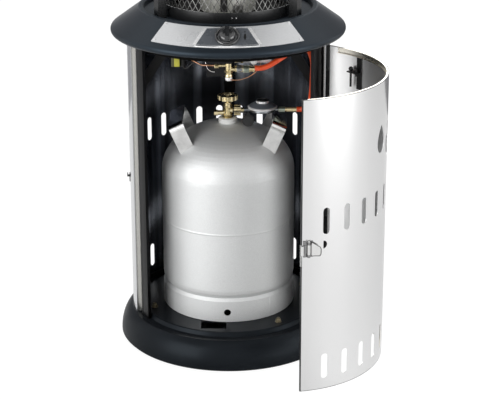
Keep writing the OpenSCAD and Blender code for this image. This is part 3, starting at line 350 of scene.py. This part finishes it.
def satin_bottle():
    """Sprayed silver: fine metallic fleck over a soft drift of tone."""
    mat, shader = start_material("bottle_silver", (0.72, 0.73, 0.74), 0.56, 0.6)
    fleck = grain(mat, 1500, 1)
    silver = tint(mat, spread(mat, fleck, 0, 1), (0.62, 0.63, 0.63), (0.82, 0.83, 0.83))
    wire(mat, silver, shader, "Base Color")
    wire(mat, spread(mat, grain(mat, 7, 3), 0.53, 0.6), shader, "Roughness")
    relief(mat, shader, grain(mat, 500, 3), 0.35, 0.00005)
    return mat


bottle_silver = satin_bottle()

finishes = {
    slate_coat: ["control_ring"],
    base_coat: ["base_dish"],
    satin_black: ["post_left", "post_right", "post_rear", "emitter_band", "emitter_cap"],
    black_coat: ["brace_left", "brace_right", "brace_rear", "hinge_fixed_leaf", "hinge_door_leaf",
                 "hinge_pin", "gas_valve", "igniter_box", "door_bracket", "foot_angle", "side_hook"],
    soot_black: ["burner_pan", "ring_carrier"],
    shell_steel: ["housing_shell"],
    door_steel: ["door_panel"],
    rim_steel: ["door_top_rim", "door_foot_rim"],
    sheet_steel: ["latch_lever", "latch_tongue"],
    latch_steel: ["latch_base"],
    left_jamb_steel: ["jamb_left"],
    right_jamb_steel: ["jamb_right"],
    plain_steel: ["burner_pipe", "pilot_burner"],
    burner_steel: ["burner_head"],
    plate_steel: ["control_plate"],
    inset_slate: ["control_inset"],
    knob_black: ["control_knob", "knob_bezel"],
    bright_steel: ["plate_rivets", "reflector_nuts"],
    cap_silver: ["regulator_cap"],
    dull_brass: ["base_bolts"],
    tail_brass: ["hose_tail"],
    brass: ["valve_outlet", "inlet_fitting", "bottle_valve", "union_nut", "handwheel", "valve_spindle"],
    copper: ["pilot_pipe"],
    zinc: ["regulator_body"],
    regulator_grey: ["regulator_cover"],
    hose_rubber: ["gas_hose"],
    rubber_black: ["cap_strap", "dust_cap"],
    bottle_silver: ["bottle_body", "bottle_foot_ring"],
    handle_steel: ["bottle_handles"],
    collar_white: ["bottle_collar"],
    emitter_wire: ["emitter_mesh"],
    hood_steel: ["reflector"],
}
for finish, names in finishes.items():
    for name in names:
        nodes[name].data.materials.clear()
        nodes[name].data.materials.append(finish)
hose_curve.materials.append(hose_rubber)


# Making pieces

def only(piece):
    """Selects this piece alone."""
    bpy.ops.object.select_all(action="DESELECT")
    piece.select_set(True)
    bpy.context.view_layer.objects.active = piece


def modified(piece, kind, **settings):
    """Puts a modifier on the piece and applies it."""
    only(piece)
    change = piece.modifiers.new(kind.lower(), kind)
    for setting, value in settings.items():
        setattr(change, setting, value)
    bpy.ops.object.modifier_apply(modifier=change.name)
    return piece


def settled(piece, name, finish, body, smooth=35):
    """Names the finished piece, fixes its place in its mesh and puts it on its body."""
    only(piece)
    bpy.ops.object.transform_apply(location=True, rotation=True, scale=True)
    bpy.ops.object.mode_set(mode="EDIT")
    bpy.ops.mesh.select_all(action="SELECT")
    bpy.ops.mesh.normals_make_consistent(inside=False)
    bpy.ops.object.mode_set(mode="OBJECT")
    bpy.ops.object.shade_smooth_by_angle(angle=math.radians(smooth))
    piece.name = name
    piece.data.name = name
    piece.data.materials.clear()
    piece.data.materials.append(finish)
    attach(piece, body)
    bpy.ops.object.select_all(action="DESELECT")


def pick(piece, wanted, kind="FACE"):
    """Selects, in edit mode, the faces (or corners) that wanted() says yes to."""
    only(piece)
    bpy.ops.object.mode_set(mode="EDIT")
    bpy.ops.mesh.select_mode(type=kind)
    bpy.ops.mesh.select_all(action="DESELECT")
    bpy.ops.object.mode_set(mode="OBJECT")
    for part in piece.data.polygons if kind == "FACE" else piece.data.vertices:
        part.select = wanted(part)
    bpy.ops.object.mode_set(mode="EDIT")


def joined(pieces):
    """Makes one piece of several."""
    bpy.ops.object.select_all(action="DESELECT")
    for piece in pieces:
        piece.select_set(True)
    bpy.context.view_layer.objects.active = pieces[0]
    bpy.ops.object.join()
    return pieces[0]


def block(size, place, edge=0.0003):
    """A box with softly bevelled edges."""
    bpy.ops.mesh.primitive_cube_add(size=1, location=place)
    piece = bpy.context.object
    piece.scale = size
    bpy.ops.object.transform_apply(location=False, rotation=False, scale=True)
    return modified(piece, "BEVEL", width=edge, segments=2)


# Edges sharper than this are bevelled, and two turns that lay a bar along X or along Y
sharp = math.radians(50)
lying = (0, math.radians(90), 0)
facing = (math.radians(90), 0, 0)


def barrel(radius, length, place, turn=(0, 0, 0), sides=32, edge=0.0004):
    """A round bar, or a prism where it has few sides, with softly bevelled ends."""
    bpy.ops.mesh.primitive_cylinder_add(vertices=sides, radius=radius, depth=length, location=place,
                                        rotation=turn)
    piece = bpy.context.object
    return modified(piece, "BEVEL", width=edge, segments=2, limit_method="ANGLE", angle_limit=sharp)


def screw_head(place, turn, radius, height):
    """A pan head with a hollow socket, its axis turned from +Z by turn."""
    bpy.ops.mesh.primitive_cylinder_add(vertices=20, radius=radius, depth=height, location=place,
                                        rotation=turn)
    screw = bpy.context.object
    pick(screw, lambda face: face.normal.z > 0.9)
    bpy.ops.mesh.inset(thickness=radius * 0.5)
    bpy.ops.mesh.extrude_region_shrink_fatten(TRANSFORM_OT_shrink_fatten={"value": -height * 0.5})
    bpy.ops.object.mode_set(mode="OBJECT")
    return modified(screw, "BEVEL", width=radius * 0.12, segments=2, limit_method="ANGLE",
                    angle_limit=sharp)


def wire_run(name, points, radius, finish, body="cabinet", closed=False, bend="AUTO"):
    """A thin wire or pipe through the points, in metres."""
    line = bpy.data.curves.new(name, "CURVE")
    line.dimensions = "3D"
    line.bevel_depth = radius
    line.bevel_resolution = 3
    line.resolution_u = 6
    line.use_fill_caps = not closed
    spline = line.splines.new("BEZIER")
    spline.bezier_points.add(len(points) - 1)
    spline.use_cyclic_u = closed
    for knot, place in zip(spline.bezier_points, points):
        knot.co = place
        knot.handle_left_type = knot.handle_right_type = bend
    run = bpy.data.objects.new(name, line)
    scene.collection.objects.link(run)
    only(run)
    bpy.ops.object.convert(target="MESH")
    settled(bpy.context.object, name, finish, body, 60)


# The ring's slope, and the middle of the control panel on it
ring_slope = math.radians(36)
ring_edge, ring_edge_height = 0.250, 0.741
panel_radius = 0.225
panel_height = ring_edge_height + (ring_edge - panel_radius) * math.tan(ring_slope)
on_panel = Matrix.Translation((0, -panel_radius, panel_height)) @ Matrix.Rotation(ring_slope, 4, "X")


def laid_on(piece, ground, lift):
    """Drops a flat piece straight onto the control panel, lift above ground."""
    above = Matrix.Translation((0, 0, 0.02))
    piece.matrix_world = on_panel @ above
    modified(piece, "SHRINKWRAP", wrap_method="PROJECT", use_project_z=True, use_negative_direction=True,
             use_positive_direction=False, target=nodes[ground], offset=lift)


# Emitter

def emitter_lattice():
    """Stretched mesh: one diamond, arrayed flat, bent round and given its sheet."""
    columns, rows, low, high, radius = 66, 11, 0.7932, 1.0546, 0.149
    wide = 2 * math.pi * radius / columns
    tall = (high - low) / rows
    bpy.ops.mesh.primitive_circle_add(vertices=4, radius=0.5, fill_type="NGON")
    mesh = bpy.context.object
    bpy.ops.object.mode_set(mode="EDIT")
    bpy.ops.mesh.select_all(action="SELECT")
    bpy.ops.transform.resize(value=(wide, tall, 1))
    bpy.ops.mesh.inset(thickness=0.0007)
    bpy.ops.mesh.delete(type="FACE")
    bpy.ops.mesh.select_all(action="SELECT")
    bpy.ops.mesh.duplicate_move(TRANSFORM_OT_translate={"value": (wide / 2, tall / 2, 0)})
    bpy.ops.object.mode_set(mode="OBJECT")
    modified(mesh, "ARRAY", count=columns + 1, use_relative_offset=False, use_constant_offset=True,
             constant_offset_displace=(wide, 0, 0))
    modified(mesh, "ARRAY", count=rows + 1, use_relative_offset=False, use_constant_offset=True,
             constant_offset_displace=(0, tall, 0))
    bpy.ops.object.mode_set(mode="EDIT")
    for place, side in (((0, 0, 0), (0, -1, 0)), ((0, tall * rows, 0), (0, 1, 0)),
                        ((0, 0, 0), (-1, 0, 0)), ((wide * columns, 0, 0), (1, 0, 0))):
        bpy.ops.mesh.select_all(action="SELECT")
        bpy.ops.mesh.bisect(plane_co=place, plane_no=side, clear_outer=True)
    bpy.ops.object.mode_set(mode="OBJECT")
    modified(mesh, "WELD", merge_threshold=0.0001)
    mesh.location = (-wide * columns / 2, 0, 0)
    mesh.rotation_euler = (math.radians(90), 0, 0)
    bpy.ops.object.transform_apply(location=True, rotation=True, scale=True)
    modified(mesh, "SIMPLE_DEFORM", deform_method="BEND", deform_axis="Z", angle=2 * math.pi)
    mesh.location = (0, -radius, low)
    bpy.ops.object.transform_apply(location=True, rotation=False, scale=False)
    modified(mesh, "WELD", merge_threshold=0.0002)
    modified(mesh, "SOLIDIFY", thickness=0.0009, offset=0)
    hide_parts("emitter_mesh")
    settled(mesh, "emitter_lattice", emitter_wire, "cabinet")


emitter_lattice()


def band_screws():
    """Two small screws that close the emitter's foot band at the front."""
    heads = []
    band_radius = 0.1506
    for angle in (math.radians(3.7), math.radians(7.2)):
        place = (band_radius * math.sin(angle), -band_radius * math.cos(angle), 0.782)
        heads.append(screw_head(place, (math.radians(90), 0, angle), 0.0017, 0.0012))
    settled(joined(heads), "band_screws", bright_steel, "cabinet")


band_screws()


# Control panel

def inset_frame():
    """Bright bevelled frame along the sides and the curved foot of the dark inset."""
    side_x, side_y, lean = 0.0574, 0.0054, math.radians(28.6)
    rise = 0.0022
    bpy.ops.mesh.primitive_grid_add(x_subdivisions=1, y_subdivisions=10, size=1)
    side = bpy.context.object
    side.scale = (0.008, 0.0475, 1)
    side.rotation_euler = (0, 0, lean)
    side.location = (side_x, side_y, 0)
    bpy.ops.object.transform_apply(location=True, rotation=True, scale=True)
    laid_on(side, "control_plate", 0.0001)
    pick(side, lambda corner: corner.co.x < side_x - (corner.co.y - side_y) * math.tan(lean), "VERT")
    bpy.ops.transform.translate(value=(0, -rise * math.sin(ring_slope), rise * math.cos(ring_slope)))
    bpy.ops.object.mode_set(mode="OBJECT")
    bpy.ops.object.transform_apply(location=True, rotation=True, scale=True)
    modified(side, "MIRROR")
    bpy.ops.mesh.primitive_cone_add(vertices=360, radius1=0.2488, radius2=0.247, depth=0.00385,
                                    end_fill_type="NOTHING", location=(0, 0, 0.74528))
    foot = bpy.context.object
    bpy.ops.object.mode_set(mode="EDIT")
    half = math.radians(15.8)
    for hand in (-1, 1):
        bpy.ops.mesh.select_all(action="SELECT")
        bpy.ops.mesh.bisect(plane_co=(0, 0, 0), plane_no=(hand * math.cos(half), math.sin(half), 0),
                            clear_outer=True)
    bpy.ops.object.mode_set(mode="OBJECT")
    modified(side, "SOLIDIFY", thickness=0.0006, offset=0)
    modified(foot, "SOLIDIFY", thickness=0.0006, offset=0)
    settled(joined([side, foot]), "inset_frame", glare_chrome, "cabinet", 50)


inset_frame()


def flame_marks():
    """High and low mark beside the knob: a slim flame wedge with a dot over it."""
    bpy.ops.mesh.primitive_circle_add(vertices=28, radius=1, fill_type="TRIFAN")
    wedge = bpy.context.object
    wedge.scale = (0.0027, 0.0095, 1)
    bpy.ops.object.transform_apply(location=False, rotation=False, scale=True)
    for step in range(1, 4):
        pick(wedge, lambda corner: corner.co.y < -0.0022 * step, "VERT")
        bpy.ops.transform.resize(value=(0.72, 1, 1), center_override=(0, 0, 0))
        bpy.ops.object.mode_set(mode="OBJECT")
    wedge.location = (0.0372, -0.001, 0)
    bpy.ops.mesh.primitive_circle_add(vertices=18, radius=0.0015, fill_type="TRIFAN",
                                      location=(0.037, 0.0135, 0))
    marks = joined([wedge, bpy.context.object])
    bpy.ops.object.transform_apply(location=True, rotation=True, scale=True)
    laid_on(marks, "control_inset", 0.0001)
    modified(marks, "SOLIDIFY", thickness=0.0003, offset=0)
    settled(marks, "flame_marks", mark_black, "cabinet")


flame_marks()


# Details under the control ring

def spark_maker():
    """Ribbed black barrel beside the igniter's box, and the sleeve on the box with its side in painted
    shade.
    """
    x, y, lowest, pitch = -0.0975, -0.13, 0.6735, 0.0038
    ribs = [barrel(0.0052, 0.021, (x, y, 0.681), sides=24)]
    for step in range(5):
        ribs.append(barrel(0.0064, 0.0022, (x, y, lowest + step * pitch), sides=24))
    settled(joined(ribs), "spark_maker", rubber_black, "cabinet")
    sleeve = block((0.0118, 0.003, 0.021), (-0.1098, -0.1404, 0.6835), 0.0008)
    settled(sleeve, "igniter_sleeve", sleeve_yellow, "cabinet")
    # The sleeve's side, painted in a dark olive yellow as shade
    side = block((0.0058, 0.0026, 0.021), (-0.1189, -0.1402, 0.6835), 0.0006)
    settled(side, "igniter_sleeve_shade", sleeve_shade, "cabinet")


spark_maker()
wire_run("sensor_wire", [(-0.002, -0.170, 0.664), (0.003, -0.177, 0.656), (0.018, -0.179, 0.6535),
                         (0.036, -0.177, 0.6565), (0.054, -0.170, 0.664), (0.066, -0.158, 0.674),
                         (0.072, -0.146, 0.690), (0.070, -0.142, 0.706)], 0.0009, copper)
wire_run("spark_lead", [(-0.0975, -0.13, 0.6715), (-0.093, -0.133, 0.667), (-0.086, -0.137, 0.671),
                        (-0.078, -0.141, 0.679), (-0.066, -0.144, 0.688), (-0.05, -0.146, 0.7)], 0.0014,
         rubber_black)
wire_run("sensor_loop", [(-0.046, -0.146, 0.704), (-0.0475, -0.165, 0.694), (-0.046, -0.168, 0.683),
                         (-0.041, -0.169, 0.674), (-0.034, -0.168, 0.669), (-0.028, -0.166, 0.668)], 0.0007,
         bright_steel)


def valve_bracket():
    """Bright bent strip to the right of the valve, with two screws and a small can."""
    parts = [block((0.054, 0.0012, 0.013), (0.0585, -0.156, 0.692)),
             block((0.054, 0.011, 0.0012), (0.0585, -0.151, 0.6985)),
             barrel(0.0072, 0.012, (0.056, -0.1615, 0.691), facing),
             barrel(0.0062, 0.02, (0.0835, -0.1575, 0.6935), lying)]
    parts += [screw_head((x, -0.1572, 0.6915), facing, 0.0032, 0.0022) for x in (0.039, 0.07)]
    settled(joined(parts), "valve_bracket", glare_chrome, "cabinet")


valve_bracket()


def line_fittings():
    """Dark and grey-green hexagons and a brass ring between the valve and the hose."""
    line_y, line_z = -0.172, 0.676
    dark = barrel(0.0082, 0.013, (0.0255, line_y, line_z), lying, 6, 0.0006)
    settled(dark, "line_nut", zinc, "cabinet")
    grey = barrel(0.0088, 0.013, (0.0395, line_y, line_z), lying, 6, 0.0006)
    settled(grey, "line_hexagon", fitting_green, "cabinet")
    rings = [barrel(0.0078, 0.002, (x, line_y, line_z), lying) for x in (0.0475, 0.0555)]
    rings.append(barrel(0.0064, 0.009, (-0.0235, line_y, 0.684), lying, 6, 0.0005))
    rings.append(barrel(0.0055, 0.012, (0.021, -0.166, 0.694), lying))
    rings.append(barrel(0.0068, 0.006, (0.0305, -0.166, 0.694), lying, 6, 0.0005))
    settled(joined(rings), "line_rings", brass, "cabinet")
    foot = barrel(0.0078, 0.011, (0.002, line_y, 0.6555), sides=40, edge=0.0035)
    settled(foot, "outlet_foot", glare_chrome, "cabinet", 60)


line_fittings()


# Bottle details, round the bottle's own middle line

bottle_x = -0.002


def foot_ring_weld():
    """Uneven weld between the bottle's foot ring and its body, and the ring's own upright seam."""
    bpy.ops.mesh.primitive_torus_add(major_segments=240, minor_segments=8, major_radius=0.1438,
                                     minor_radius=0.0016, location=(bottle_x, 0, 0.1322))
    bead = bpy.context.object
    ripple = bpy.data.textures.new("weld_ripple", "CLOUDS")
    ripple.noise_scale = 0.004
    modified(bead, "DISPLACE", texture=ripple, strength=0.0016, texture_coords="LOCAL")
    settled(bead, "foot_ring_weld", bottle_silver, "cabinet", 60)
    ring_radius, seam_angle = 0.1521, math.radians(38.7)
    place = (ring_radius * math.sin(seam_angle) + bottle_x, -ring_radius * math.cos(seam_angle), 0.0995)
    seam = block((0.0022, 0.001, 0.047), place, 0.0004)
    seam.rotation_euler = (0, 0, seam_angle)
    settled(seam, "foot_ring_seam", bottle_silver, "cabinet")


foot_ring_weld()


def wheel_plate():
    """Black plate in the hollow of the bottle's handwheel, with its brass nut."""
    plate = barrel(0.0168, 0.003, (bottle_x, 0, 0.5648), sides=48, edge=0.0005)
    settled(plate, "wheel_plate", knob_black, "wheel")
    nut = barrel(0.0048, 0.0036, (bottle_x, 0, 0.5678), sides=6)
    settled(nut, "wheel_nut", dull_brass, "wheel")


wheel_plate()


# Latch

# From the middle of the latch on the shut door to its place on the open one
hinge_line = Vector((0.219019, -0.074987, 0))
door_swing = (Matrix.Translation(hinge_line) @ Matrix.Rotation(math.radians(80), 4, "Z")
              @ Matrix.Translation(-hinge_line))
latch_place = (door_swing @ Matrix.Rotation(math.radians(-63.3), 4, "Z")
               @ Matrix.Translation((0, -0.2272, 0.392)))

# Across and up from there, in millimetres
latch_outline = [(-6.9, 11.4), (-5.4, 17.0), (12.4, 5.0), (14.4, 0.9), (14.2, -10.1), (11.8, -14.0),
                 (-5.9, -12.0), (-6.9, -9.5)]
latch_points = [latch_place @ Vector((x / 1000, -0.0068, z / 1000)) for x, z in latch_outline]
# A dark wire of painted shade round the latch lever's outline
wire_run("latch_shade_outline", latch_points, 0.0008, latch_shade_dark, "latch", closed=True, bend="VECTOR")


# Floor and light

floor_glow, camera_share = 1.15, 0.8
base_edge = (0.225, 0.25)
lamp_level, seen_level = 0.45, 1.0

bpy.ops.mesh.primitive_plane_add(size=14, location=(0, 0, -0.0006))
floor = bpy.context.object
floor.name = "studio_floor"
floor_mat, floor_shader = start_material("floor_white", (0.86, 0.86, 0.86), 0.7)
tree = floor_mat.node_tree
# To the camera the floor is mostly a white glow, which blends with the background
path = tree.nodes.new("ShaderNodeLightPath")
glow = tree.nodes.new("ShaderNodeEmission")
glow.inputs["Strength"].default_value = floor_glow
mixer = tree.nodes.new("ShaderNodeMixShader")
share = tree.nodes.new("ShaderNodeMath")
share.operation = "MULTIPLY"
share.inputs[1].default_value = camera_share
tree.links.new(path.outputs["Is Camera Ray"], share.inputs[0])
# The floor doesn't glow where the base covers it, so it stays dark behind the vent hole
bare = spread(floor_mat, away_from(floor_mat, (0, 0)), 0, 1, *base_edge)
glow_share = tree.nodes.new("ShaderNodeMath")
glow_share.operation = "MULTIPLY"
tree.links.new(share.outputs[0], glow_share.inputs[0])
tree.links.new(bare, glow_share.inputs[1])
tree.links.new(glow_share.outputs[0], mixer.inputs["Fac"])
tree.links.new(floor_shader.outputs[0], mixer.inputs[1])
tree.links.new(glow.outputs[0], mixer.inputs[2])
tree.links.new(mixer.outputs[0], tree.nodes["Material Output"].inputs["Surface"])
floor.data.materials.append(floor_mat)

world = bpy.data.worlds.new("studio_world")
scene.world = world
world.use_nodes = True
tree = world.node_tree
back = tree.nodes["Background"]
back.inputs["Color"].default_value = (1, 1, 1, 1)
# The background is white to the camera and in reflections, and dimmer as a light
path = tree.nodes.new("ShaderNodeLightPath")
seen = tree.nodes.new("ShaderNodeMath")
seen.operation = "MAXIMUM"
seen_too = tree.nodes.new("ShaderNodeMath")
seen_too.operation = "MAXIMUM"
level = tree.nodes.new("ShaderNodeMapRange")
level.inputs["To Min"].default_value = lamp_level
level.inputs["To Max"].default_value = seen_level
tree.links.new(path.outputs["Is Camera Ray"], seen.inputs[0])
tree.links.new(path.outputs["Is Glossy Ray"], seen.inputs[1])
tree.links.new(seen.outputs[0], seen_too.inputs[0])
tree.links.new(path.outputs["Is Transmission Ray"], seen_too.inputs[1])
tree.links.new(seen_too.outputs[0], level.inputs["Value"])
tree.links.new(level.outputs["Result"], back.inputs["Strength"])


def soft_lamp(name, place, target, size, watts):
    """A wide lamp that looks from its place at the target."""
    data = bpy.data.lights.new(name, "AREA")
    data.shape = "RECTANGLE"
    data.size, data.size_y = size
    data.energy = watts
    lamp = bpy.data.objects.new(name, data)
    scene.collection.objects.link(lamp)
    lamp.location = place
    lamp.rotation_euler = (Vector(target) - Vector(place)).to_track_quat("-Z", "Y").to_euler()


soft_lamp("key_lamp", (-2.8, -2.5, 1.1), (0, 0, 0.4), (2.6, 3.2), 96)
soft_lamp("fill_lamp", (3.0, -2.0, 1.0), (0, 0, 0.5), (2.4, 2.6), 62)
soft_lamp("rear_lamp", (0.3, 2.8, 2.4), (0, 0, 0.7), (2.0, 1.2), 40)


def grey_card(name, left, right, depth, level):
    """An upright card behind the heater that only polished metal sees, as a soft grey edge."""
    middle_height, tall = 0.9, 3
    bpy.ops.mesh.primitive_plane_add(size=1, location=((left + right) / 2, depth, middle_height),
                                     rotation=facing)
    card = bpy.context.object
    card.name = name
    card.scale = (right - left, tall, 1)
    mat = bpy.data.materials.new(name)
    mat.use_nodes = True
    shade = mat.node_tree.nodes.new("ShaderNodeEmission")
    shade.inputs["Color"].default_value = (level, level, level * 1.04, 1)
    mat.node_tree.links.new(shade.outputs[0], mat.node_tree.nodes["Material Output"].inputs["Surface"])
    card.data.materials.append(mat)
    card.visible_camera = card.visible_diffuse = card.visible_shadow = card.visible_transmission = False


grey_card("left_card", -2.6, -0.7, 1.6, 0.35)
grey_card("right_card", 0.6, 2.0, 1.6, 0.2)

scene.view_settings.view_transform = "Standard"
